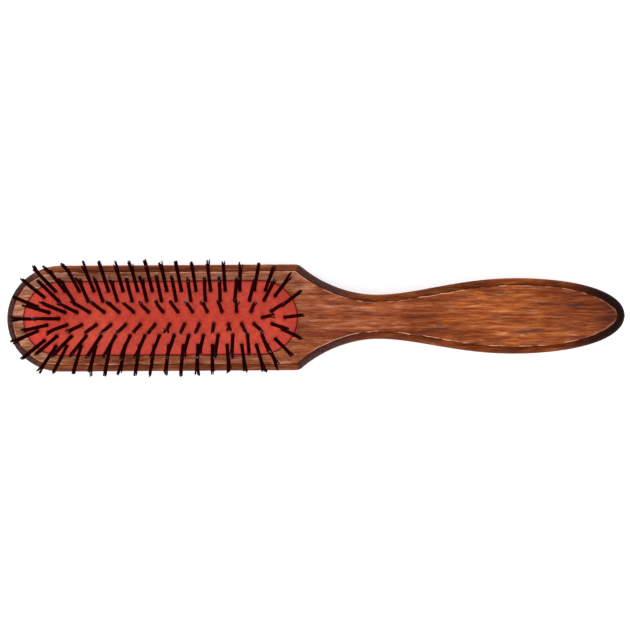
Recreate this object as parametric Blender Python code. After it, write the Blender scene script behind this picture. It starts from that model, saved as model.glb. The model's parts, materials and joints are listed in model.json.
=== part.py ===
"""A wooden cushion hairbrush: one routed hardwood body, a domed rubber cushion held by its rim
in a groove, and nylon tufts that come up through the cushion.

Frame: +X runs along the handle, +Z is the side the tufts stand on, and the origin is on the
surface the brush lies on, under the middle of its length. All sizes are in metres.
"""

import math

import bmesh
import bpy
from mathutils import Vector

MM = 0.001
GAP = 0.3 * MM

# Wooden body
LENGTH = 230 * MM
THICKNESS = 12.5 * MM
HEAD_HALF_WIDTH = 19.75 * MM
SHOULDER_X = -6.3 * MM
SHOULDER_FALL = math.radians(43)
NECK = (22.9 * MM, 8.25 * MM)
GRIP = (74.4 * MM, 14.1 * MM)
# How far the outline runs on straight past each of those points before it bends away
TIP_PULL = 10.2 * MM
GRIP_PULLS = (18.7 * MM, 21.9 * MM)
NECK_PULLS = (14.7 * MM, 12.6 * MM)
SHOULDER_PULL = 7.8 * MM

# Moulded edge: a flat face, a fine quirk, a rounded bead down to the widest line, a rounded back
FACE_INSET = 2.7 * MM
QUIRK_WIDTH = 0.15 * MM
QUIRK_DEPTH = 0.35 * MM
WIDEST_Z = 9.4 * MM
BACK_INSET = 4.6 * MM

# Pocket for the cushion, with a groove for its rim
TOE_CENTRE_X = -94.5 * MM
HEEL_CENTRE_X = -20.5 * MM
CUSHION_RADIUS = 13.5 * MM
POCKET_FLOOR_Z = 4.5 * MM
GROOVE_BOTTOM_Z = 8.4 * MM
GROOVE_TOP_Z = 10.4 * MM
GROOVE_REACH = 1.4 * MM

# Rubber cushion
CROWN_HEIGHT = 6.0 * MM
RIM_DROP = 0.2 * MM
RUBBER = 1.6 * MM
SHELL_BREAK = 11.9 * MM

# Nylon tufts
TUFT_RADIUS = 0.6 * MM
TUFT_LENGTH = 17.5 * MM
ROOT_DEPTH = 3.0 * MM
BEND_CUT = 0.9 * MM
BORE_RADIUS = TUFT_RADIUS + 0.345 * MM
BORE_ABOVE = 2.0 * MM
BORE_BELOW = 4.2 * MM
SIDES = 6
EDGE_ROW_Y = 10.1 * MM
SECOND_ROW_Y = 6.4 * MM
MIDDLE_ROW_Y = 2.3 * MM
PITCH = 5.35 * MM
TOE_RING_REACH = 8.25 * MM
HEEL_RING_REACH = 9.1 * MM
RING_DEGREES = (52, 26, -26, -52, 0)

# Each row: its y, the x of the tufts squeezed in at the toe end, the first x and the count of
# its even run and the x of those after it, in millimetres. Then its leans in degrees: across,
# along in its middle, and how much more it fans out at the toe, with how far that reaches.
ROWS = (
    (EDGE_ROW_Y, (-95.5, -91.9), -86.75, 13, (-18.5,), 35.5, -1, 16, 13),
    (SECOND_ROW_Y, (), -93.8, 15, (), 28, 2, 18, 10),
    (MIDDLE_ROW_Y, (-97.2, -91.3, -87.0), -82.4, 12, (-16.2,), 12, -2, 13, 16),
    (-MIDDLE_ROW_Y, (-98.0,), -90.7, 12, (-27.1, -22.6, -16.0), 8.5, 2, 18, 12),
    (-SECOND_ROW_Y, (), -94.6, 15, (), 25, -2, 11, 20),
    (-EDGE_ROW_Y, (-95.5,), -91.5, 14, (-18.0,), 35, 3, 12, 10),
)
FAN_START_X = -99
HEEL_FAN = 29
HEEL_FAN_X = -11.4
HEEL_FAN_REACH = 11
END_EASING = 0.15
END_FADE = 10

# The ring of tufts round each end, and one inside it: lean outwards along X, lean across at the
# ring's sides, tilt of them all towards +Y, and lean along X of the one inside
TOE_RING_LEANS = (-13.5, 27, 0, -15)
HEEL_RING_LEANS = (24.5, 31, 3.5, 17)

ARC_STEPS = 14
CURVE_STEPS = 10
EDGE_STEPS = 3
CUSHION_ARC_STEPS = 10


# ---------------------------------------------------------------- scene and materials

def clear_scene():
    for thing in list(bpy.data.objects):
        bpy.data.objects.remove(thing, do_unlink=True)


def material(name, colour, roughness):
    made = bpy.data.materials.new(name)
    made.use_nodes = True
    shader = made.node_tree.nodes["Principled BSDF"]
    shader.inputs["Base Color"].default_value = (*colour, 1)
    shader.inputs["Roughness"].default_value = roughness
    shader.inputs["Metallic"].default_value = 0
    made.diffuse_color = (*colour, 1)
    return made


def add_empty(name, place, parent=None):
    empty = bpy.data.objects.new(name, None)
    bpy.context.collection.objects.link(empty)
    empty.empty_display_size = 0.01
    empty.location = place if parent is None else Vector(place) - parent.matrix_world.translation
    empty.parent = parent
    bpy.context.view_layer.update()
    return empty


def add_solid(name, bm, finish, parent=None):
    """Makes an object from bm, whose points are in world places, with its origin on its parent's."""
    origin = parent.matrix_world.translation if parent else Vector()
    bmesh.ops.translate(bm, vec=-origin, verts=bm.verts)
    bmesh.ops.recalc_face_normals(bm, faces=bm.faces)
    mesh = bpy.data.meshes.new(name)
    bm.to_mesh(mesh)
    bm.free()
    mesh.shade_smooth()
    mesh.set_sharp_from_angle(angle=math.radians(35))
    solid = bpy.data.objects.new(name, mesh)
    bpy.context.collection.objects.link(solid)
    solid.parent = parent
    if finish:
        mesh.materials.append(finish)
    return solid


def cut(solid, cutter):
    cutter.hide_render = True
    cutter.display_type = "WIRE"
    boolean = solid.modifiers.new(cutter.name, "BOOLEAN")
    boolean.operation = "DIFFERENCE"
    boolean.solver = "EXACT"
    boolean.object = cutter


# ---------------------------------------------------------------- outlines

def bezier(start, pull_start, pull_end, end, steps):
    """Points of a cubic curve after its start, up to and with its end."""
    points = []
    for step in range(1, steps + 1):
        t = step / steps
        weights = (1 - t) ** 3, 3 * t * (1 - t) ** 2, 3 * t * t * (1 - t), t ** 3
        corners = (start, pull_start, pull_end, end)
        points.append(tuple(sum(w * c[axis] for w, c in zip(weights, corners)) for axis in (0, 1)))
    return points


def body_outline():
    """The body's widest outline, anticlockwise from the handle's tip."""
    tip = (LENGTH / 2, 0)
    shoulder = (SHOULDER_X, HEAD_HALF_WIDTH)
    curve = [tip]
    curve += bezier(tip, (tip[0], TIP_PULL), (GRIP[0] + GRIP_PULLS[0], GRIP[1]), GRIP, CURVE_STEPS)
    curve += bezier(GRIP, (GRIP[0] - GRIP_PULLS[1], GRIP[1]), (NECK[0] + NECK_PULLS[0], NECK[1]),
                    NECK, CURVE_STEPS)
    below_shoulder = (shoulder[0] + SHOULDER_PULL * math.cos(SHOULDER_FALL),
                      shoulder[1] - SHOULDER_PULL * math.sin(SHOULDER_FALL))
    curve += bezier(NECK, (NECK[0] - NECK_PULLS[1], NECK[1]), below_shoulder, shoulder, CURVE_STEPS)
    centre_x = HEAD_HALF_WIDTH - LENGTH / 2
    for step in range(ARC_STEPS):
        turn = math.pi / 2 * (1 + step / ARC_STEPS)
        curve.append((centre_x + HEAD_HALF_WIDTH * math.cos(turn), HEAD_HALF_WIDTH * math.sin(turn)))
    toe = (-LENGTH / 2, 0)
    return curve + [toe] + [(x, -y) for x, y in reversed(curve[1:])]


def inset(outline, distance):
    """The outline moved inwards with mitred corners."""
    moved = []
    count = len(outline)
    for at in range(count):
        before, here, after = (Vector(outline[(at + n) % count]) for n in (-1, 0, 1))
        into = (here - before).normalized()
        out_of = (after - here).normalized()
        first = Vector((-into.y, into.x))
        second = Vector((-out_of.y, out_of.x))
        moved.append(here + (first + second) * distance / (1 + first.dot(second)))
    return moved


def stadium(radius, steps=CUSHION_ARC_STEPS):
    """A round-ended outline about the cushion's two end centres; radius 0 gives the line between."""
    points = []
    for centre_x, start in ((HEEL_CENTRE_X, -math.pi / 2), (TOE_CENTRE_X, math.pi / 2)):
        for step in range(steps + 1):
            turn = start + math.pi * step / steps
            points.append((centre_x + radius * math.cos(turn), radius * math.sin(turn)))
    return points


# ---------------------------------------------------------------- solids from loops

def add_loop(bm, outline, z):
    return [bm.verts.new((x, y, z)) for x, y in outline]


def bridge(bm, lower, upper):
    count = len(lower)
    for at in range(count):
        after = (at + 1) % count
        bm.faces.new((lower[at], lower[after], upper[after], upper[at]))


def lofted(levels):
    """A closed solid through (outline, z) levels with flat ends."""
    bm = bmesh.new()
    loops = [add_loop(bm, outline, z) for outline, z in levels]
    for lower, upper in zip(loops, loops[1:]):
        bridge(bm, lower, upper)
    bm.faces.new(list(reversed(loops[0])))
    bm.faces.new(loops[-1])
    return bm


def dome_height(radius):
    """How high the cushion's outer surface stands at a distance from its ridge line."""
    rim_z = THICKNESS - RIM_DROP
    rise = CROWN_HEIGHT + RIM_DROP
    ball = (CUSHION_RADIUS ** 2 + rise ** 2) / (2 * rise)
    return rim_z + rise - ball + math.sqrt(ball ** 2 - radius ** 2)


# ---------------------------------------------------------------- body and cushion

def make_body(finish):
    outline = body_outline()
    levels = []
    for step in range(EDGE_STEPS + 1):
        turn = math.pi / 2 * step / EDGE_STEPS
        levels.append((inset(outline, BACK_INSET * (1 - math.sin(turn))),
                       WIDEST_Z * (1 - math.cos(turn))))
    bead_top = THICKNESS - QUIRK_DEPTH
    bead_inset = FACE_INSET - QUIRK_WIDTH
    for step in range(1, EDGE_STEPS + 1):
        turn = math.pi / 2 * step / EDGE_STEPS
        levels.append((inset(outline, bead_inset * (1 - math.cos(turn))),
                       WIDEST_Z + (bead_top - WIDEST_Z) * math.sin(turn)))
    levels.append((inset(outline, FACE_INSET), THICKNESS))
    body = add_solid("wood_body", lofted(levels), finish)
    mouth = CUSHION_RADIUS + GAP
    groove = CUSHION_RADIUS + GROOVE_REACH
    pocket = lofted([(stadium(mouth), POCKET_FLOOR_Z), (stadium(mouth), GROOVE_BOTTOM_Z),
                     (stadium(groove), GROOVE_BOTTOM_Z), (stadium(groove), GROOVE_TOP_Z),
                     (stadium(mouth), GROOVE_TOP_Z), (stadium(mouth), THICKNESS + MM)])
    cut(body, add_solid("pocket_cutter", pocket, None))
    return body


def cushion_profile():
    """(distance from the ridge line, z) from the crown, over the rim and back under the dome."""
    between_rows = [0, (MIDDLE_ROW_Y + SECOND_ROW_Y) / 2, (SECOND_ROW_Y + EDGE_ROW_Y) / 2]
    outside = [(r, dome_height(r)) for r in (*between_rows, SHELL_BREAK, CUSHION_RADIUS)]
    flange_top = GROOVE_TOP_Z - GAP
    flange_bottom = GROOVE_BOTTOM_Z + GAP
    flange_reach = CUSHION_RADIUS + GROOVE_REACH - GAP
    skirt = CUSHION_RADIUS - RUBBER
    rim = [(CUSHION_RADIUS, flange_top), (flange_reach, flange_top), (flange_reach, flange_bottom),
           (skirt, flange_bottom)]
    inside = [(r, dome_height(r) - RUBBER) for r in (skirt, *reversed(between_rows))]
    return outside + rim + inside


def make_cushion(finish, parent, tufts):
    """The domed cushion with its rim, swept round the stadium and bored for the tufts."""
    bm = bmesh.new()
    profile = cushion_profile()
    loops = []
    for radius, z in profile[1:-1]:
        loops.append(add_loop(bm, stadium(radius), z))
    for upper, lower in zip(loops, loops[1:]):
        bridge(bm, upper, lower)
    for loop, (_, z) in ((loops[0], profile[0]), (loops[-1], profile[-1])):
        heel = bm.verts.new((HEEL_CENTRE_X, 0, z))
        toe = bm.verts.new((TOE_CENTRE_X, 0, z))
        half = CUSHION_ARC_STEPS + 1
        for start, pole in ((0, heel), (half, toe)):
            for at in range(start, start + half - 1):
                bm.faces.new((loop[at], loop[at + 1], pole))
        bm.faces.new((loop[half - 1], loop[half], toe, heel))
        bm.faces.new((loop[2 * half - 1], loop[0], heel, toe))
    cushion = add_solid("rubber_cushion", bm, finish, parent)
    bores = bmesh.new()
    for base, direction in tufts:
        sweep(bores, [base + direction * BORE_ABOVE, base - direction * BORE_BELOW], BORE_RADIUS)
    cut(cushion, add_solid("tuft_hole_cutter", bores, None, parent))
    return cushion


# ---------------------------------------------------------------- tufts

def sweep(bm, path, radius):
    """Adds a closed tube with SIDES sides along path, mitred at its corners."""
    rings = []
    across = Vector((0, 1, 0))
    for at, point in enumerate(path):
        into = (point - path[at - 1]).normalized() if at else (path[1] - point).normalized()
        out_of = (path[at + 1] - point).normalized() if at + 1 < len(path) else into
        along = (into + out_of).normalized()
        across = (across - into * across.dot(into)).normalized()
        side = into.cross(across)
        ring = []
        for n in range(SIDES):
            turn = 2 * math.pi * n / SIDES
            offset = (across * math.cos(turn) + side * math.sin(turn)) * radius
            offset -= into * offset.dot(along) / into.dot(along)
            ring.append(bm.verts.new(point + offset))
        rings.append(ring)
    for lower, upper in zip(rings, rings[1:]):
        bridge(bm, lower, upper)
    bm.faces.new(list(reversed(rings[0])))
    bm.faces.new(rings[-1])


def tuft_at(x, y, along, across):
    """(base on the rubber, direction) of the tuft at x, y with its leans in degrees."""
    beyond = max(x - HEEL_CENTRE_X, TOE_CENTRE_X - x, 0)
    base = Vector((x, y, dome_height(math.hypot(beyond, y))))
    direction = Vector((math.tan(math.radians(along)), math.tan(math.radians(across)), 1))
    return base, direction.normalized()


def tuft_rows():
    """{row name: its tufts as (base, direction)}, each row running from the toe to the heel."""
    rows = {}
    for number, row in enumerate(ROWS, 1):
        y, toe_end, start, count, heel_end, across, along, toe_fan, toe_reach = row
        even = [start + PITCH / MM * n for n in range(count)]
        rows[f"row_{number}"] = made = []
        for x in (*toe_end, *even, *heel_end):
            beyond = max(x - HEEL_CENTRE_X / MM, TOE_CENTRE_X / MM - x)
            eased = across * (1 - END_EASING * math.exp(beyond / END_FADE))
            fan = HEEL_FAN * math.exp((x - HEEL_FAN_X) / HEEL_FAN_REACH)
            fan -= toe_fan * math.exp(-((x - FAN_START_X) / toe_reach) ** 2)
            made.append(tuft_at(x * MM, y, along + fan, math.copysign(eased, y)))
    for name, centre_x, reach, (outward, aside, tilt, inner) in (
            ("toe", TOE_CENTRE_X, -TOE_RING_REACH, TOE_RING_LEANS),
            ("heel", HEEL_CENTRE_X, HEEL_RING_REACH, HEEL_RING_LEANS)):
        rows[name] = made = []
        for turn in (math.radians(degrees) for degrees in RING_DEGREES):
            place = centre_x + reach * math.cos(turn), EDGE_ROW_Y * math.sin(turn)
            made.append(tuft_at(*place, outward, tilt + aside * math.sin(turn)))
        made.append(tuft_at(centre_x + MM, 0, inner, tilt))
    return rows


def hairpin(first, second):
    """One bundle of nylon bent double, its two legs coming up through neighbouring holes."""
    bm = bmesh.new()
    ends = []
    for (base, direction), (other_base, other_direction) in ((first, second), (second, first)):
        root = base - direction * ROOT_DEPTH
        inward = (other_base - other_direction * ROOT_DEPTH - root).normalized()
        ends.append([base + direction * TUFT_LENGTH, root + direction * BEND_CUT,
                     root + inward * BEND_CUT])
    sweep(bm, ends[0] + list(reversed(ends[1])), TUFT_RADIUS)
    return bm


def single(tuft):
    bm = bmesh.new()
    base, direction = tuft
    sweep(bm, [base + direction * TUFT_LENGTH, base - direction * ROOT_DEPTH], TUFT_RADIUS)
    return bm


def make_tufts(finish, cushion_bed):
    """Every tuft, two to a hairpin, under one pivot for each row. Returns (base, direction)s."""
    tufts = []
    for row, made in tuft_rows().items():
        tufts += made
        pivot = sum((base for base, _ in made), Vector()) / len(made)
        empty = add_empty(row + "_pivot", pivot, cushion_bed)
        for number in range(0, len(made), 2):
            pair = made[number:number + 2]
            bm = hairpin(*pair) if len(pair) == 2 else single(*pair)
            add_solid(f"{row}_tufts_{number // 2 + 1}", bm, finish, empty)
    return tufts


def main():
    clear_scene()
    wood = material("walnut_stain", (0.36, 0.14, 0.07), 0.42)
    rubber = material("red_rubber", (0.56, 0.03, 0.02), 0.55)
    nylon = material("black_nylon", (0.012, 0.004, 0.005), 0.35)
    make_body(wood)
    bed = add_empty("cushion_bed_origin", (0.5 * (TOE_CENTRE_X + HEEL_CENTRE_X), 0, THICKNESS))
    make_cushion(rubber, bed, make_tufts(nylon, bed))


main()
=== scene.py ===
"""Looks of the cushion hairbrush: a smooth moulded wooden body, a domed rubber cushion with a
dimple at each tuft, and every tuft as a bundle of nylon filaments. All sizes are in metres."""

import json
import math
import random

import bmesh
import bpy
import numpy as np
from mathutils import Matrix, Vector, noise


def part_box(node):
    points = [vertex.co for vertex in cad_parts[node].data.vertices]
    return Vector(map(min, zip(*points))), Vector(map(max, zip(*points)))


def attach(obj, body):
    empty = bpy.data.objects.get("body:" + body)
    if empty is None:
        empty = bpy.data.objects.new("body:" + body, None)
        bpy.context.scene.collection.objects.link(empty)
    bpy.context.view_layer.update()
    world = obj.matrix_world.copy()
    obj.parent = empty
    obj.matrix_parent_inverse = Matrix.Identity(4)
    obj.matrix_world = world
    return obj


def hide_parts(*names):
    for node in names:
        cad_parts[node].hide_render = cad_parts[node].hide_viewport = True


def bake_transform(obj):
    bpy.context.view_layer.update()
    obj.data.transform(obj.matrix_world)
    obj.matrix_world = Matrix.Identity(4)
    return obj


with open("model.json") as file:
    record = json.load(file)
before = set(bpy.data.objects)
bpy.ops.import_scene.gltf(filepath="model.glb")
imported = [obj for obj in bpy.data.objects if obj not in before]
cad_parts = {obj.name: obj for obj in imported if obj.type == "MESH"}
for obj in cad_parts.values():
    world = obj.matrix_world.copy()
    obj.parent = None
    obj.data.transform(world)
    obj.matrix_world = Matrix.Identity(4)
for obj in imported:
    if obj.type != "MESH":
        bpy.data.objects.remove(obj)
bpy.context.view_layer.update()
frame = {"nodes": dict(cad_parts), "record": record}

MM = 0.001

# ---------------------------------------------------------------- sizes read from the frame

WOOD_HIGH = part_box("wood_body")[1]
PAD_LOW, PAD_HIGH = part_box("rubber_cushion")
TUFT_NODES = sorted(n for n in frame["nodes"] if "_tufts_" in n)
BODY_OF = {node: body for body, nodes in frame["record"]["behaviour"]["bodies"].items()
           for node in nodes}

TIP_X = WOOD_HIGH.x
HEAD_HALF_WIDTH = WOOD_HIGH.y
FACE_Z = WOOD_HIGH.z

# The body's outline: shoulder, neck and grip, and how far each curve runs straight on from them
SHOULDER_X = -6.3 * MM
SHOULDER_FALL = math.radians(43)
NECK = (22.9 * MM, 8.25 * MM)
GRIP = (74.4 * MM, 14.1 * MM)
TIP_PULL = 10.2 * MM
GRIP_PULLS = (18.7 * MM, 21.9 * MM)
NECK_PULLS = (14.7 * MM, 12.6 * MM)
SHOULDER_PULL = 7.8 * MM
OUTLINE_SPACING = 0.8 * MM
CURVE_STEPS = 120

# The moulded edge: a flat back, its rounded rim, a bead above it, and a quirk at the face
FACE_INSET = 2.7 * MM
WIDEST_Z = 9.4 * MM
BACK_INSET = 4.6 * MM
BACK_LEDGE = 0.6 * MM
BEAD_TOP_Z = FACE_Z - 0.35 * MM
BEAD_INSET = FACE_INSET - 0.40 * MM
BACK_STEPS = 12
BEAD_STEPS = 10
INSET_MOVE = 0.4 * MM

# The edge widens towards the handle's tip, by this share of its width
TIP_EXTRA_INSET = 0.35
TIP_START_X = 90 * MM

# The quirk and the arris wander a little: (scale, place in the noise, how far)
WANDERINGS = ((150, 1.7, 0.20 * MM), (400, 4.1, 0.28 * MM))

# How far the edge turns across the grain where end grain starts to show, and where it shows fully;
# the darkening there is end grain and painted shade on the ends that face away from the lamps.
# Up the rounded back it darkens this much faster than the rest of the edge.
END_GRAIN_AND_SHADE = (0.22, 0.62)
NECK_END_GRAIN_AND_SHADE = (0.10, 0.40)
END_GRAIN_AND_SHADE_GAIN = 1.3

# The pocket and the cushion in it
FLANGE_REACH = 1.1 * MM
PAD_RADIUS = PAD_HIGH.y - FLANGE_REACH
HEEL_X = PAD_HIGH.x - FLANGE_REACH - PAD_RADIUS
TOE_X = PAD_LOW.x + FLANGE_REACH + PAD_RADIUS
MOUTH_RADIUS = PAD_RADIUS + 0.3 * MM
GROOVE_RADIUS = PAD_RADIUS + 1.4 * MM
GROOVE_Z = (8.4 * MM, 10.4 * MM)
POCKET_FLOOR_Z = 4.5 * MM
RIM_Z = FACE_Z - 0.2 * MM
MOUTH_STEPS = 40
MOUTH_EASING = 0.12 * MM

# The rubber: its thickness, the spacing of its points, and the flange in the groove
RUBBER = 1.6 * MM
SKIN_SPACING = 0.42 * MM
INNER_RINGS = 8
SKIRT_STEP = 0.12 * MM
SKIRT_DROP = 0.15 * MM
FLANGE_GAP = 0.3 * MM

# The dimple round each tuft, with a faint lip, and the skin's unevenness
DIMPLE_RADIUS = 0.78 * MM
DIMPLE_DEPTH = 0.5 * MM
LIP_HEIGHT = 0.05 * MM
UNEVENNESS = 0.07 * MM
UNEVEN_SCALE = 90

# The tufts: one filament in the middle of each bundle and six round it
TUFT_LENGTH = 17.5 * MM
ROOT_DEPTH = 3.0 * MM
FILAMENTS = 7
FILAMENT_SIDES = 6
FILAMENT_RADIUS = 0.235 * MM
RADIUS_SPREAD = (0.94, 1.06)
BUNDLE_RADIUS = 0.46 * MM
BUNDLE_JITTER = 0.12
BOW = 0.12 * MM

# Heights of a filament's points, as shares of a tuft's length, down to the root under the rubber
LEG_SHARES = (1, 0.92, 0.83, 0.7, 0.5, 0.25, 0.05, -0.06, -ROOT_DEPTH / TUFT_LENGTH)

# The cut ends: where a bundle starts to fork, how much longer its clumps are, and how far they part
FORK_START = 0.66
CLUMP_COUNTS = (1, 2, 2, 3)
FIRST_CLUMP = (-0.2 * MM, 0.25 * MM)
OTHER_CLUMPS = (-2.2 * MM, -0.2 * MM)
CLUMP_REACH = (0.15 * MM, 0.75 * MM)
SHORTEST_CUT = 1.5 * MM

# A leg's end in the CAD has faces that look up, near its top, and this close to each other
LEG_END_LOOK = 0.7
LEG_END_HEIGHT = FACE_Z + 0.7 * TUFT_LENGTH
LEG_END_WIDTH = 2 * MM

# The camera over the brush, its lens in millimetres
CAMERA_HEIGHT = 360 * MM
CAMERA_SHIFT = (-0.37 * MM, 0.8 * MM)
CAMERA_ROLL = math.radians(-0.36)
LENS = 55.65

# The light, and the floor just under the brush
SOFTBOX_POWERS = (2.4, 1.5)
SOFTBOX_SIZE = (0.9, 0.3)
SOFTBOX_OUT = 0.50
SOFTBOX_UP = 0.55
SKY_STRENGTH = 1.0
FLOOR_GLOW = 0.25
FLOOR_Z = -0.2 * MM
FLOOR_HALF_SIZE = 20


# ---------------------------------------------------------------- small tools

def smooth_step(low, high, value):
    t = min(max((value - low) / (high - low), 0), 1)
    return t * t * (3 - 2 * t)


def mesh_object(name, points, faces, finishes, face_slots=None):
    mesh = bpy.data.meshes.new(name)
    mesh.from_pydata([tuple(p) for p in points], [], faces)
    mesh.validate()
    for finish in finishes:
        mesh.materials.append(finish)
    if face_slots is not None:
        mesh.polygons.foreach_set("material_index", face_slots)
    mesh.shade_smooth()
    made = bpy.data.objects.new(name, mesh)
    bpy.context.collection.objects.link(made)
    return made


def ring_faces(first, second, count):
    """Quads between two rings of count points that start at first and second."""
    return [(first + n, first + (n + 1) % count, second + (n + 1) % count, second + n)
            for n in range(count)]


def add_float(thing, name, values):
    layer = thing.data.attributes.new(name, "FLOAT", "POINT")
    layer.data.foreach_set("value", np.asarray(values, np.float32))


# ---------------------------------------------------------------- material tools

class Finish:
    """A Principled material and short calls that add nodes to it."""

    def __init__(self, name):
        self.material = bpy.data.materials.new(name)
        self.material.use_nodes = True
        self.tree = self.material.node_tree
        self.shader = self.tree.nodes["Principled BSDF"]

    def node(self, kind, **settings):
        made = self.tree.nodes.new(kind)
        for key, value in settings.items():
            setattr(made, key, value)
        return made

    def link(self, source, target):
        self.tree.links.new(source, target)

    def set(self, **values):
        for key, value in values.items():
            self.shader.inputs[key.replace("_", " ")].default_value = value

    def place(self):
        return self.node("ShaderNodeTexCoord").outputs["Object"]

    def stretched(self, place, scale, offset=(0, 0, 0)):
        mapping = self.node("ShaderNodeMapping")
        self.link(place, mapping.inputs["Vector"])
        mapping.inputs["Scale"].default_value = scale
        mapping.inputs["Location"].default_value = offset
        return mapping.outputs[0]

    def noise(self, place, scale=1.0, detail=3.0, roughness=0.5, distortion=0.0):
        made = self.node("ShaderNodeTexNoise")
        self.link(place, made.inputs["Vector"])
        made.inputs["Scale"].default_value = scale
        made.inputs["Detail"].default_value = detail
        made.inputs["Roughness"].default_value = roughness
        made.inputs["Distortion"].default_value = distortion
        return made.outputs["Fac"]

    def remap(self, value, low, high, to_low=0.0, to_high=1.0):
        made = self.node("ShaderNodeMapRange", interpolation_type="SMOOTHSTEP")
        self.link(value, made.inputs["Value"])
        for key, number in (("From Min", low), ("From Max", high),
                            ("To Min", to_low), ("To Max", to_high)):
            made.inputs[key].default_value = number
        return made.outputs["Result"]

    def math(self, operation, *values):
        made = self.node("ShaderNodeMath", operation=operation)
        for socket, value in zip(made.inputs, values):
            if isinstance(value, (int, float)):
                socket.default_value = value
            else:
                self.link(value, socket)
        return made.outputs[0]

    def both(self, first, second):
        """1 only where both values are 1: their product."""
        return self.math("MULTIPLY", first, second)

    def axes(self, place):
        """The three coordinates of a place."""
        made = self.node("ShaderNodeSeparateXYZ")
        self.link(place, made.inputs[0])
        return tuple(made.outputs)

    def marked(self, name):
        """The value of one of the mesh's own attributes."""
        return self.node("ShaderNodeAttribute", attribute_name=name).outputs["Fac"]

    def ramp(self, value, stops):
        made = self.node("ShaderNodeValToRGB")
        self.link(value, made.inputs["Fac"])
        elements = made.color_ramp.elements
        while len(elements) < len(stops):
            elements.new(0.5)
        for element, (at, colour) in zip(elements, stops):
            element.position = at
            element.color = (*colour, 1)
        return made.outputs["Color"]

    def mix(self, first, second, factor, blend="MIX"):
        """The first colour, and where the factor is 1 the second one, a socket or three numbers."""
        made = self.node("ShaderNodeMix", data_type="RGBA", blend_type=blend)
        self.link(factor, made.inputs[0])
        self.link(first, made.inputs[6])
        if isinstance(second, tuple):
            made.inputs[7].default_value = (*second, 1)
        else:
            self.link(second, made.inputs[7])
        return made.outputs[2]

    def tint(self, colour, by, factor):
        """The colour, multiplied where the factor is 1."""
        return self.mix(colour, by, factor, "MULTIPLY")

    def bump(self, height, strength, distance, onto=None):
        made = self.node("ShaderNodeBump")
        self.link(height, made.inputs["Height"])
        made.inputs["Strength"].default_value = strength
        made.inputs["Distance"].default_value = distance
        if onto is not None:
            self.link(onto, made.inputs["Normal"])
        self.link(made.outputs["Normal"], self.shader.inputs["Normal"])
        return made.outputs["Normal"]


# ---------------------------------------------------------------- materials

def wood_finish():
    """Stained hardwood with its grain along X, darker where the end grain shows on the edge and
    darker still there as painted shade, with painted shade low on the edge, a painted highlight on
    the arris and a painted shadow in the quirk.
    """
    wood = Finish("stained_hardwood")
    place = wood.place()
    lines = wood.noise(wood.stretched(place, (125, 1350, 1350), (2, 6, 9)), detail=5,
                       roughness=0.74, distortion=0.25)
    pores = wood.noise(wood.stretched(place, (260, 2300, 2300), (3, 5, 1)), detail=2)
    colour = grain_colour(wood, place, lines, pores)
    colour = edge_colour(wood, place, colour)
    wood.link(colour, wood.shader.inputs["Base Color"])
    wood.link(wood.remap(lines, 0.3, 0.75, 0.62, 0.46), wood.shader.inputs["Roughness"])
    wood.set(Specular_IOR_Level=0.10, IOR=1.35)
    raised = wood.bump(lines, 0.45, 0.16 * MM)
    wood.bump(wood.remap(pores, 0.56, 0.70, 1, 0), 0.5, 0.12 * MM, raised)
    return wood.material


def pink_head(wood, along):
    """1 over the head, where the stain is pinker, and 0 from the grip on."""
    return wood.remap(along, 60 * MM, -30 * MM)


def grain_colour(wood, place, lines, pores):
    """The stain over bands, lines, smoky streaks, clouds and pores, with its tone along the brush."""
    along, _, _ = wood.axes(place)
    bands = wood.noise(wood.stretched(place, (20, 400, 400)), detail=2, distortion=0.4)
    clouds = wood.noise(wood.stretched(place, (38, 110, 110), (7, 2, 4)), detail=2)
    smoky = wood.noise(wood.stretched(place, (75, 420, 420), (1, 8, 3)), detail=4, roughness=0.65)
    grain = wood.math("MULTIPLY_ADD", bands, 0.34, wood.both(lines, 0.66))
    colour = wood.ramp(grain, (
        (0.36, (0.105, 0.020, 0.008)),
        (0.44, (0.185, 0.039, 0.010)),
        (0.50, (0.275, 0.066, 0.014)),
        (0.56, (0.370, 0.104, 0.028)),
        (0.64, (0.540, 0.215, 0.090))))

    dark_end = wood.remap(along, 70 * MM, 112 * MM)
    colour = wood.tint(colour, (0.64, 0.57, 0.66), dark_end)
    neck = wood.both(wood.remap(along, -6 * MM, 20 * MM), wood.remap(along, 62 * MM, 34 * MM))
    colour = wood.tint(colour, (0.84, 0.80, 0.84), neck)
    colour = wood.tint(colour, (1.05, 1.15, 2.0), pink_head(wood, along))
    pale_toe = wood.remap(along, -85 * MM, -105 * MM)
    colour = wood.tint(colour, (1.25, 1.75, 2.10), pale_toe)

    smoke = wood.both(wood.remap(smoky, 0.55, 0.66), wood.remap(along, 0, 100 * MM, 0.4, 0.8))
    colour = wood.mix(colour, (0.070, 0.026, 0.028), smoke)
    colour = wood.tint(colour, (0.74, 0.68, 0.66), wood.remap(clouds, 0.44, 0.62))
    return wood.mix(colour, (0.075, 0.018, 0.009), wood.remap(pores, 0.60, 0.70, 0, 0.55))


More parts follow.
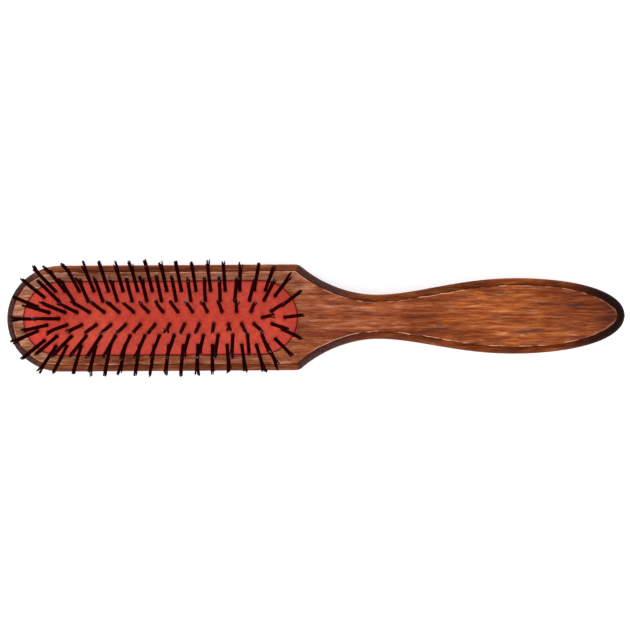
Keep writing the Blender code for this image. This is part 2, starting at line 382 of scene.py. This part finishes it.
def edge_colour(wood, place, colour):
    """The colour with the face's sides, the darker moulded edge, its end grain with painted shade on
    it, painted shade low on the edge, its worn arris with a painted highlight, and a painted shadow
    in its quirk.
    """
    along, sideways, height = wood.axes(place)
    edge, arris, quirk, end_grain_and_shade = (
        wood.marked(name) for name in ("edge", "arris", "quirk", "end_grain_and_shade"))
    face = wood.math("SUBTRACT", 1, edge)
    pale_side = wood.both(wood.remap(sideways, 10 * MM, 15 * MM), pink_head(wood, along))
    colour = wood.tint(colour, (1.20, 1.50, 1.85), wood.both(pale_side, face))
    sooty_tip = wood.both(wood.remap(along, 100 * MM, 111 * MM), face)
    colour = wood.tint(colour, (0.66, 0.64, 0.78), sooty_tip)

    colour = wood.tint(colour, (0.62, 0.50, 0.34), edge)
    golden = wood.both(wood.remap(along, 0, 50 * MM), edge)
    colour = wood.tint(colour, (1.04, 1.02, 0.64), golden)
    speckle = wood.noise(place, 1500, detail=3, roughness=0.7)
    # The end grain is dark stain, darkened further as painted shade where the edge faces the ends,
    # away from the lamps.
    dark_end = wood.ramp(speckle, ((0.40, (0.024, 0.007, 0.006)), (0.66, (0.095, 0.036, 0.030))))
    colour = wood.mix(colour, dark_end, end_grain_and_shade)
    near_tip = wood.both(wood.remap(along, 86 * MM, 106 * MM), edge)
    colour = wood.tint(colour, (0.16, 0.08, 0.06), near_tip)
    # Painted shade low on the edge, where the bead's outer slope falls in shadow.
    low_edge_shade = wood.both(wood.remap(height, WIDEST_Z + 1.4 * MM, WIDEST_Z), edge)
    colour = wood.tint(colour, (0.60, 0.52, 0.48), low_edge_shade)

    # The arris is worn paler, and the pale line is partly a painted highlight along the face's edge.
    wear_and_highlight = wood.remap(wood.noise(wood.stretched(place, (210, 210, 40)), detail=4), 0.42, 0.62)
    wear_and_highlight = wood.both(wear_and_highlight, wood.remap(along, 92 * MM, 112 * MM, 1, 0.4))
    colour = wood.mix(colour, (0.60, 0.30, 0.19), wood.both(arris, wear_and_highlight))
    # Painted shadow in the quirk, the small step below the arris.
    return wood.mix(colour, (0.035, 0.009, 0.004), wood.both(quirk, 0.85))


def rubber_finish():
    """Moulded red rubber, a little mottled, with painted shade towards its rim, round each tuft and
    at its edge, and aged at the toe, with painted shade there too.
    """
    rubber = Finish("red_rubber")
    place = rubber.place()
    along, _, height = rubber.axes(place)
    cloud = rubber.noise(place, 70, detail=3)
    fine = rubber.noise(place, 900, detail=3, roughness=0.6)
    colour = rubber.ramp(cloud, (
        (0.30, (0.57, 0.042, 0.020)),
        (0.55, (0.64, 0.052, 0.025)),
        (0.75, (0.69, 0.070, 0.032))))
    # Painted shade: the dome darker towards its rim.
    rim_shade = rubber.remap(height, RIM_Z + 4.8 * MM, RIM_Z + 1.5 * MM)
    colour = rubber.tint(colour, (0.77, 0.69, 0.70), rim_shade)
    # The toe is aged and mottled, and darker there also as painted shade.
    toe_age_and_shade = rubber.remap(along, TOE_X + 6 * MM, PAD_LOW.x)
    patches = rubber.remap(rubber.noise(place, 240, detail=3), 0.40, 0.60, 0.35, 1)
    colour = rubber.tint(colour, (1.12, 0.42, 0.46), rubber.both(toe_age_and_shade, patches))
    colour = rubber.tint(colour, (0.84, 0.80, 0.80), rubber.remap(fine, 0.45, 0.62))
    # Painted shade round each tuft's root, in its dimple.
    colour = rubber.mix(colour, (0.12, 0.006, 0.005), rubber.both(rubber.marked("dimple"), 0.6))
    # Painted shade along the rim, in the gap between the cushion and the wood.
    colour = rubber.mix(colour, (0.25, 0.008, 0.010), rubber.marked("rim"))
    rubber.link(colour, rubber.shader.inputs["Base Color"])
    rubber.link(rubber.remap(fine, 0.3, 0.7, 0.50, 0.66), rubber.shader.inputs["Roughness"])
    rubber.set(Specular_IOR_Level=0.20, Sheen_Weight=0.04, Sheen_Roughness=0.6)
    rubber.bump(fine, 0.25, 0.06 * MM)
    return rubber.material


def nylon_finish():
    """Black nylon filament with a faint maroon cast and fine drawing lines along it."""
    nylon = Finish("black_nylon")
    place = nylon.place()
    tone = nylon.noise(nylon.stretched(place, (900, 900, 120)), detail=2)
    colour = nylon.ramp(tone, ((0.3, (0.014, 0.0003, 0.0004)), (0.7, (0.030, 0.0006, 0.0008))))
    nylon.link(colour, nylon.shader.inputs["Base Color"])
    nylon.link(nylon.remap(tone, 0.3, 0.7, 0.38, 0.52), nylon.shader.inputs["Roughness"])
    nylon.set(Specular_IOR_Level=0.03, IOR=1.3)
    nylon.bump(nylon.noise(nylon.stretched(place, (9000, 9000, 900)), detail=2), 0.15, 0.03 * MM)
    return nylon.material


def cut_end_finish():
    """The cut ends of the filaments: most are dark, and a few are pale with a painted glint."""
    cut = Finish("nylon_cut_end")
    # A few cut ends are pale: painted glints.
    pale_glint = cut.noise(cut.place(), 700, detail=2)
    colour = cut.ramp(pale_glint, ((0.58, (0.010, 0.002, 0.003)), (0.68, (0.16, 0.15, 0.17))))
    cut.link(colour, cut.shader.inputs["Base Color"])
    cut.set(Roughness=0.45, Specular_IOR_Level=0.1)
    cut.bump(pale_glint, 0.3, 0.03 * MM)
    return cut.material


def floor_finish():
    """A pale, matt table top."""
    floor = Finish("pale_floor")
    tone = floor.noise(floor.place(), 30, detail=3)
    colour = floor.ramp(tone, ((0.3, (0.93, 0.93, 0.94)), (0.7, (0.96, 0.96, 0.965))))
    floor.link(colour, floor.shader.inputs["Base Color"])
    floor.set(Roughness=0.9, Specular_IOR_Level=0.1, Emission_Color=(1, 1, 1, 1),
              Emission_Strength=FLOOR_GLOW)
    return floor.material


# ---------------------------------------------------------------- wooden body

def bezier(start, pull_start, pull_end, end):
    """Points of a cubic curve after its start, up to and with its end."""
    points = []
    for step in range(1, CURVE_STEPS + 1):
        t = step / CURVE_STEPS
        weights = (1 - t) ** 3, 3 * t * (1 - t) ** 2, 3 * t * t * (1 - t), t ** 3
        corners = (start, pull_start, pull_end, end)
        points.append(tuple(sum(w * c[axis] for w, c in zip(weights, corners)) for axis in (0, 1)))
    return points


def body_outline():
    """The body's widest outline, anticlockwise from the handle's tip, evenly spaced."""
    tip = (TIP_X, 0)
    shoulder = (SHOULDER_X, HEAD_HALF_WIDTH)
    below_shoulder = (shoulder[0] + SHOULDER_PULL * math.cos(SHOULDER_FALL),
                      shoulder[1] - SHOULDER_PULL * math.sin(SHOULDER_FALL))
    curve = [tip]
    curve += bezier(tip, (tip[0], TIP_PULL), (GRIP[0] + GRIP_PULLS[0], GRIP[1]), GRIP)
    curve += bezier(GRIP, (GRIP[0] - GRIP_PULLS[1], GRIP[1]), (NECK[0] + NECK_PULLS[0], NECK[1]),
                    NECK)
    curve += bezier(NECK, (NECK[0] - NECK_PULLS[1], NECK[1]), below_shoulder, shoulder)
    centre_x = HEAD_HALF_WIDTH - TIP_X
    for step in range(CURVE_STEPS + 1):
        turn = math.pi / 2 * (1 + step / CURVE_STEPS)
        curve.append((centre_x + HEAD_HALF_WIDTH * math.cos(turn), HEAD_HALF_WIDTH * math.sin(turn)))
    curve = np.array(curve)
    run = np.concatenate([[0], np.cumsum(np.linalg.norm(np.diff(curve, axis=0), axis=1))])
    even = np.linspace(0, run[-1], round(run[-1] / OUTLINE_SPACING) + 1)
    half = np.stack([np.interp(even, run, curve[:, axis]) for axis in (0, 1)], axis=1)
    for _ in range(2):
        half[1:-1] = half[1:-1] * 0.5 + (half[:-2] + half[2:]) * 0.25
    return np.concatenate([half, half[-2:0:-1] * (1, -1)])


def inset(outline, distance):
    """The outline moved inwards by a distance, one number or one for each point."""
    into = outline - np.roll(outline, 1, axis=0)
    out_of = np.roll(outline, -1, axis=0) - outline
    into /= np.linalg.norm(into, axis=1, keepdims=True)
    out_of /= np.linalg.norm(out_of, axis=1, keepdims=True)
    first = np.stack([-into[:, 1], into[:, 0]], axis=1)
    second = np.stack([-out_of[:, 1], out_of[:, 0]], axis=1)
    share = distance / (1 + (first * second).sum(axis=1))
    return outline + (first + second) * share[:, None]


def eased_inset(outline, distance):
    """The outline moved far inwards in short moves, its corners rounded so that they don't cross."""
    moves = math.ceil(distance / INSET_MOVE)
    for _ in range(moves):
        outline = inset(outline, distance / moves)
        outline = outline * 0.5 + (np.roll(outline, 1, axis=0) + np.roll(outline, -1, axis=0)) * 0.25
    return outline


def stadium(radius, steps, straight=2):
    """A round-ended outline about the cushion's two end centres, anticlockwise from the heel."""
    points = []
    for centre_x, start in ((HEEL_X, -math.pi / 2), (TOE_X, math.pi / 2)):
        for step in range(steps + 1):
            turn = start + math.pi * step / steps
            points.append((centre_x + radius * math.cos(turn), radius * math.sin(turn)))
        side = radius if start < 0 else -radius
        far_x = TOE_X if start < 0 else HEEL_X
        for step in range(1, straight):
            points.append((centre_x + (far_x - centre_x) * step / straight, side))
    return np.array(points)


def edge_profile():
    """(inset, z, edge, arris, quirk) from the rim of the flat back to the flat face; the arris column
    weights the worn edge with its painted highlight, the quirk column the painted shadow.
    """
    levels = [(BACK_INSET + BACK_LEDGE, 0, 0, 0, 0)]
    for step in range(BACK_STEPS + 1):
        turn = math.pi / 2 * step / BACK_STEPS
        levels.append((BACK_INSET * (1 - math.sin(turn)), WIDEST_Z * (1 - math.cos(turn)),
                       math.sqrt(step / BACK_STEPS), 0, 0))
    for step in range(1, BEAD_STEPS + 1):
        turn = math.pi / 2 * step / BEAD_STEPS
        levels.append((BEAD_INSET * (1 - math.cos(turn)),
                       WIDEST_Z + (BEAD_TOP_Z - WIDEST_Z) * math.sin(turn), 1, 0, 0))
    levels += [
        (FACE_INSET - 0.20 * MM, BEAD_TOP_Z - 0.12 * MM, 1, 0, 0.9),
        (FACE_INSET - 0.05 * MM, BEAD_TOP_Z - 0.05 * MM, 1, 0, 1),
        (FACE_INSET + 0.02 * MM, FACE_Z - 0.12 * MM, 0.2, 0.5, 0.4),
        (FACE_INSET + 0.11 * MM, FACE_Z - 0.03 * MM, 0, 1, 0),
        (FACE_INSET + 0.22 * MM, FACE_Z, 0, 0.8, 0),
        (FACE_INSET + 0.42 * MM, FACE_Z, 0, 0, 0),
    ]
    return levels


def pocket_profile():
    """(radius, z) from the mouth of the pocket, past the groove, down to its floor."""
    low, high = GROOVE_Z
    return [(MOUTH_RADIUS + MOUTH_EASING, FACE_Z), (MOUTH_RADIUS, FACE_Z - MOUTH_EASING),
            (MOUTH_RADIUS, high), (GROOVE_RADIUS, high), (GROOVE_RADIUS, low),
            (MOUTH_RADIUS, low), (MOUTH_RADIUS, POCKET_FLOOR_Z)]


def end_grain_and_shade_shares(outline):
    """How far end grain, and painted shade with it, shows on the edge at each point: where the edge
    turns across the grain.
    """
    tangent = np.roll(outline, -1, axis=0) - np.roll(outline, 1, axis=0)
    across = np.abs(tangent[:, 1]) / np.linalg.norm(tangent, axis=1)
    return np.array([smooth_step(*(NECK_END_GRAIN_AND_SHADE if SHOULDER_X < x < GRIP[0] else END_GRAIN_AND_SHADE), turned)
                     for x, turned in zip(outline[:, 0], across)])


def moulded_side(outline):
    """Rings of points up the moulded edge, and what each of the points is marked with."""
    wander = sum(np.array([noise.noise(Vector((x * scale, y * scale, at))) for x, y in outline]) * far
                 for scale, at, far in WANDERINGS)
    tip = np.array([smooth_step(TIP_START_X, TIP_X, x) for x in outline[:, 0]])
    ends = end_grain_and_shade_shares(outline)
    points = []
    marks = {"edge": [], "arris": [], "quirk": [], "end_grain_and_shade": []}
    for depth, z, edge, arris, quirk in edge_profile():
        if z < WIDEST_Z:
            ring = eased_inset(outline, depth)
        else:
            depths = depth * (1 + TIP_EXTRA_INSET * tip * min(depth / FACE_INSET, 1))
            if arris or quirk:
                depths = depths + wander
            ring = inset(outline, depths)
        points += [(x, y, z) for x, y in ring]
        marks["edge"] += [edge] * len(ring)
        marks["arris"] += [arris] * len(ring)
        marks["quirk"] += [quirk] * len(ring)
        marks["end_grain_and_shade"] += list(ends * min(1, END_GRAIN_AND_SHADE_GAIN * edge))
    return points, marks


def fill_face(body, rims):
    """Fills the flat face between two rims, given as ranges of point numbers."""
    shape = bmesh.new()
    shape.from_mesh(body.data)
    border = [edge for edge in shape.edges if edge.is_boundary
              and all(any(point.index in rim for rim in rims) for point in edge.verts)]
    filled = bmesh.ops.triangle_fill(shape, edges=border, use_beauty=True, normal=(0, 0, 1))
    for face in filled["geom"]:
        if isinstance(face, bmesh.types.BMFace):
            face.smooth = True
    bmesh.ops.recalc_face_normals(shape, faces=shape.faces)
    shape.to_mesh(body.data)
    shape.free()


def make_body(finish):
    """The whole wooden body: flat back, moulded side, face, and the pocket with its groove."""
    outline = body_outline()
    count = len(outline)
    points, marks = moulded_side(outline)
    first = len(points)
    faces = [tuple(reversed(range(count)))]
    for start in range(0, first - count, count):
        faces += ring_faces(start, start + count, count)

    for radius, z in pocket_profile():
        ring = stadium(radius, MOUTH_STEPS)
        points += [(x, y, z) for x, y in ring]
    mouth = len(ring)
    last = len(points) - mouth
    for start in range(first, last, mouth):
        faces += ring_faces(start, start + mouth, mouth)
    faces.append(tuple(range(last, last + mouth)))

    body = mesh_object("moulded_wood_body", points, faces, [finish])
    for name, values in marks.items():
        add_float(body, name, values + [0] * (len(points) - first))
    fill_face(body, (range(first - count, first), range(first, first + mouth)))
    body.data.set_sharp_from_angle(angle=math.radians(40))
    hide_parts("wood_body")
    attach(body, "handle")


# ---------------------------------------------------------------- cushion

def dome_height(radius):
    """How high the cushion's outer surface stands at a distance from its ridge line."""
    rise = PAD_HIGH.z - RIM_Z
    ball = (PAD_RADIUS ** 2 + rise ** 2) / (2 * rise)
    return PAD_HIGH.z - ball + np.sqrt(ball ** 2 - np.minimum(radius, PAD_RADIUS) ** 2)


def cushion_profile():
    """(radius, z, rim) over the dome, round the flange in the groove, and back under the dome."""
    low, high = GROOVE_Z
    skin_steps = round(PAD_RADIUS / SKIN_SPACING)
    profile = [(radius, dome_height(radius), 0)
               for radius in PAD_RADIUS * np.arange(1, skin_steps) / skin_steps]
    profile += [(PAD_RADIUS, RIM_Z, 1),
                (PAD_RADIUS + SKIRT_STEP, RIM_Z - SKIRT_DROP, 1),
                (PAD_RADIUS + SKIRT_STEP, high - FLANGE_GAP, 1),
                (PAD_RADIUS + FLANGE_REACH, high - FLANGE_GAP, 1),
                (PAD_RADIUS + FLANGE_REACH, low + FLANGE_GAP, 1),
                (PAD_RADIUS - RUBBER, low + FLANGE_GAP, 1)]
    profile += [(radius, dome_height(radius) - RUBBER, 0)
                for radius in (PAD_RADIUS - RUBBER) * np.arange(INNER_RINGS, 0, -1) / INNER_RINGS]
    return profile


def close_ridge(points, faces, ridge, start, z):
    """Closes the ring of points that begins at start with faces to a ridge line at height z."""
    numbers = {}
    for x, _ in ridge:
        if round(x, 7) not in numbers:
            numbers[round(x, 7)] = len(points)
            points.append((x, 0, z))
    at = [numbers[round(x, 7)] for x, _ in ridge]
    for n in range(len(ridge)):
        after = (n + 1) % len(ridge)
        face = (start + n, start + after, at[after], at[n])
        faces.append(tuple(dict.fromkeys(face)))


def cushion_skin():
    """Points, faces, and how far each point belongs to the rim, with the dome still smooth."""
    arc_steps = round(math.pi * PAD_RADIUS / SKIN_SPACING)
    straight = round((HEEL_X - TOE_X) / SKIN_SPACING)
    profile = cushion_profile()
    points, faces, rims = [], [], []
    for radius, z, rim in profile:
        ring = stadium(radius, arc_steps, straight)
        points += [(x, y, z) for x, y in ring]
        rims += [rim] * len(ring)
    count = len(ring)
    last = (len(profile) - 1) * count
    for start in range(0, last, count):
        faces += ring_faces(start + count, start, count)
    ridge = stadium(0, arc_steps, straight)
    close_ridge(points, faces, ridge, 0, PAD_HIGH.z)
    inner_faces = []
    close_ridge(points, inner_faces, ridge, last, PAD_HIGH.z - RUBBER)
    faces += [tuple(reversed(face)) for face in inner_faces]
    rims += [0] * (len(points) - len(rims))
    return np.array(points), faces, rims


def press_dimples(points, tufts):
    """Moves the outer skin down round each tuft, and gives each point's share of a dimple."""
    outer = points[:, 2] > RIM_Z - 0.01 * MM
    dimple = np.zeros(len(points))
    for tip, direction in tufts:
        away = np.linalg.norm(points - np.array(tip - direction * TUFT_LENGTH), axis=1)
        dimple = np.maximum(dimple, np.exp(-(away / DIMPLE_RADIUS) ** 2))
    lip = np.clip(dimple * (1 - dimple) * 4, 0, 1)
    uneven = np.array([noise.noise(Vector(point) * UNEVEN_SCALE) for point in points]) * UNEVENNESS
    inside = np.clip((points[:, 2] - RIM_Z) / MM, 0, 1)
    points[:, 2] += outer * (uneven * inside - dimple * DIMPLE_DEPTH + lip * LIP_HEIGHT)
    points[:, 2] = np.minimum(points[:, 2], PAD_HIGH.z)
    return dimple * outer


def make_cushion(finish, tufts):
    """The domed cushion down to its flange in the groove, with a dimple round each tuft."""
    points, faces, rims = cushion_skin()
    dimple = press_dimples(points, tufts)
    pad = mesh_object("domed_rubber_cushion", points, faces, [finish])
    add_float(pad, "dimple", dimple)
    add_float(pad, "rim", rims)
    pad.data.set_sharp_from_angle(angle=math.radians(60))
    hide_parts("rubber_cushion")
    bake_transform(pad)


# ---------------------------------------------------------------- tufts

def legs(node):
    """[(tip, direction)] of the tufts in a CAD node, from the flat ends of its legs."""
    ends = []
    for face in frame["nodes"][node].data.polygons:
        if face.normal.z > LEG_END_LOOK and face.center.z > LEG_END_HEIGHT:
            for centres, areas, _ in ends:
                if (centres[0] - face.center).length < LEG_END_WIDTH:
                    centres.append(face.center.copy())
                    areas.append(face.area)
                    break
            else:
                ends.append(([face.center.copy()], [face.area], face.normal.copy()))
    found = []
    for centres, areas, normal in ends:
        middle = sum((c * a for c, a in zip(centres, areas)), Vector()) / sum(areas)
        found.append((middle, normal.normalized()))
    return sorted(found, key=lambda leg: leg[0].x)


def around(across, beside, turn):
    """The direction at a turn from across towards beside."""
    return across * math.cos(turn) + beside * math.sin(turn)


def tube(points, faces, slots, path, radius):
    """Adds a tube along path, with its flat ends in the second slot."""
    sides = FILAMENT_SIDES
    first = len(points)
    last = first + (len(path) - 1) * sides
    across = Vector((0, 1, 0))
    for at, point in enumerate(path):
        before = path[max(at - 1, 0)]
        after = path[min(at + 1, len(path) - 1)]
        along = (after - before).normalized()
        across = (across - along * across.dot(along)).normalized()
        beside = along.cross(across)
        points += [point + around(across, beside, 2 * math.pi * n / sides) * radius
                   for n in range(sides)]
    for start in range(first, last, sides):
        faces += ring_faces(start, start + sides, sides)
        slots += [0] * sides
    faces.append(tuple(reversed(range(first, first + sides))))
    faces.append(tuple(range(last, last + sides)))
    slots += [1, 1]


def filament_leg(tip, direction, outward, longer, bow, fork):
    """Points from a filament's tip down to its root, outward being its place in the bundle."""
    path = []
    for share in LEG_SHARES:
        rise = share * TUFT_LENGTH + (longer if share > FORK_START else 0)
        opened = max(share - FORK_START, 0) / (1 - FORK_START)
        point = tip - direction * TUFT_LENGTH + direction * rise
        path.append(point + outward + bow * max(share, 0) ** 2 + fork * opened ** 1.5)
    return path


def clumps(dice, across, beside):
    """The turn at which a leg's clumps start, and how much longer and how far out each one is."""
    count = dice.choice(CLUMP_COUNTS)
    start = dice.uniform(0, 2 * math.pi)
    lengths = [dice.uniform(*span) for span in (FIRST_CLUMP, OTHER_CLUMPS, OTHER_CLUMPS)]
    made = []
    for number in range(count):
        turn = start + 2 * math.pi * (number + 0.5) / count
        reach = dice.uniform(*CLUMP_REACH) if count > 1 else 0
        made.append((lengths[number], around(across, beside, turn) * reach))
    return start, made


def leg_ends(dice, node):
    """For each leg of a node: its tip, direction, two directions across it, its bow and clumps."""
    ends = []
    for tip, direction in legs(node):
        across = Vector((0, 1, 0)).cross(direction).normalized()
        beside = direction.cross(across)
        bow = Vector((dice.gauss(0, BOW), dice.gauss(0, BOW), 0))
        ends.append((tip, direction, across, beside, bow, clumps(dice, across, beside)))
    return ends


def make_tuft(node, finishes):
    """The bundles of one CAD node: a filament runs down one leg, round the bend and up the other."""
    dice = random.Random(node)
    points, faces, slots = [], [], []
    ends = leg_ends(dice, node)
    for number in range(FILAMENTS):
        path = []
        for tip, direction, across, beside, bow, (start, parts) in ends:
            turn = math.pi / 3 * number + dice.uniform(-BUNDLE_JITTER, BUNDLE_JITTER)
            outward = around(across, beside, turn) * BUNDLE_RADIUS if number else Vector()
            part = int((turn - start) / (2 * math.pi) * len(parts)) % len(parts)
            longer, fork = parts[part]
            longer -= SHORTEST_CUT * dice.random() ** 2
            leg = filament_leg(tip, direction, outward, longer, bow, fork)
            path += reversed(leg) if path else leg
        tube(points, faces, slots, path, FILAMENT_RADIUS * dice.uniform(*RADIUS_SPREAD))
    tuft = mesh_object(node.replace("_tufts_", "_bundles_"), points, faces, finishes, slots)
    tuft.data.set_sharp_from_angle(angle=math.radians(60))
    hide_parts(node)
    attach(tuft, BODY_OF[node])


# ---------------------------------------------------------------- stage

def softbox(name, place, power):
    """A white rectangular light that faces the brush."""
    light = bpy.data.lights.new(name, "AREA")
    light.shape = "RECTANGLE"
    light.size, light.size_y = SOFTBOX_SIZE
    light.energy = power
    lamp = bpy.data.objects.new(name, light)
    bpy.context.collection.objects.link(lamp)
    lamp.location = place
    lamp.rotation_euler = (Vector() - Vector(place)).to_track_quat("-Z", "Y").to_euler()


def make_stage():
    """The pale floor, two softboxes, a white sky, and the camera straight above the brush."""
    corners = [(x * FLOOR_HALF_SIZE, y * FLOOR_HALF_SIZE, FLOOR_Z)
               for x, y in ((-1, -1), (1, -1), (1, 1), (-1, 1))]
    mesh_object("floor", corners, [(0, 1, 2, 3)], [floor_finish()])
    for name, side, power in zip(("front_softbox", "back_softbox"), (-1, 1), SOFTBOX_POWERS):
        softbox(name, (0, side * SOFTBOX_OUT, SOFTBOX_UP), power)
    world = bpy.data.worlds.new("studio")
    world.use_nodes = True
    background = world.node_tree.nodes["Background"]
    background.inputs["Color"].default_value = (1, 1, 1, 1)
    background.inputs["Strength"].default_value = SKY_STRENGTH
    bpy.context.scene.world = world
    bpy.context.scene.view_settings.view_transform = "Standard"

    camera = bpy.data.objects.new("camera", bpy.data.cameras.new("camera"))
    bpy.context.collection.objects.link(camera)
    camera.data.lens = LENS
    camera.data.clip_start = 10 * MM
    camera.location = (*CAMERA_SHIFT, FACE_Z + CAMERA_HEIGHT)
    camera.rotation_euler = (0, 0, CAMERA_ROLL)
    bpy.context.scene.camera = camera


def main():
    make_stage()
    make_body(wood_finish())
    tufts = [leg for node in TUFT_NODES for leg in legs(node)]
    make_cushion(rubber_finish(), tufts)
    nylon = [nylon_finish(), cut_end_finish()]
    for node in TUFT_NODES:
        make_tuft(node, nylon)


main()
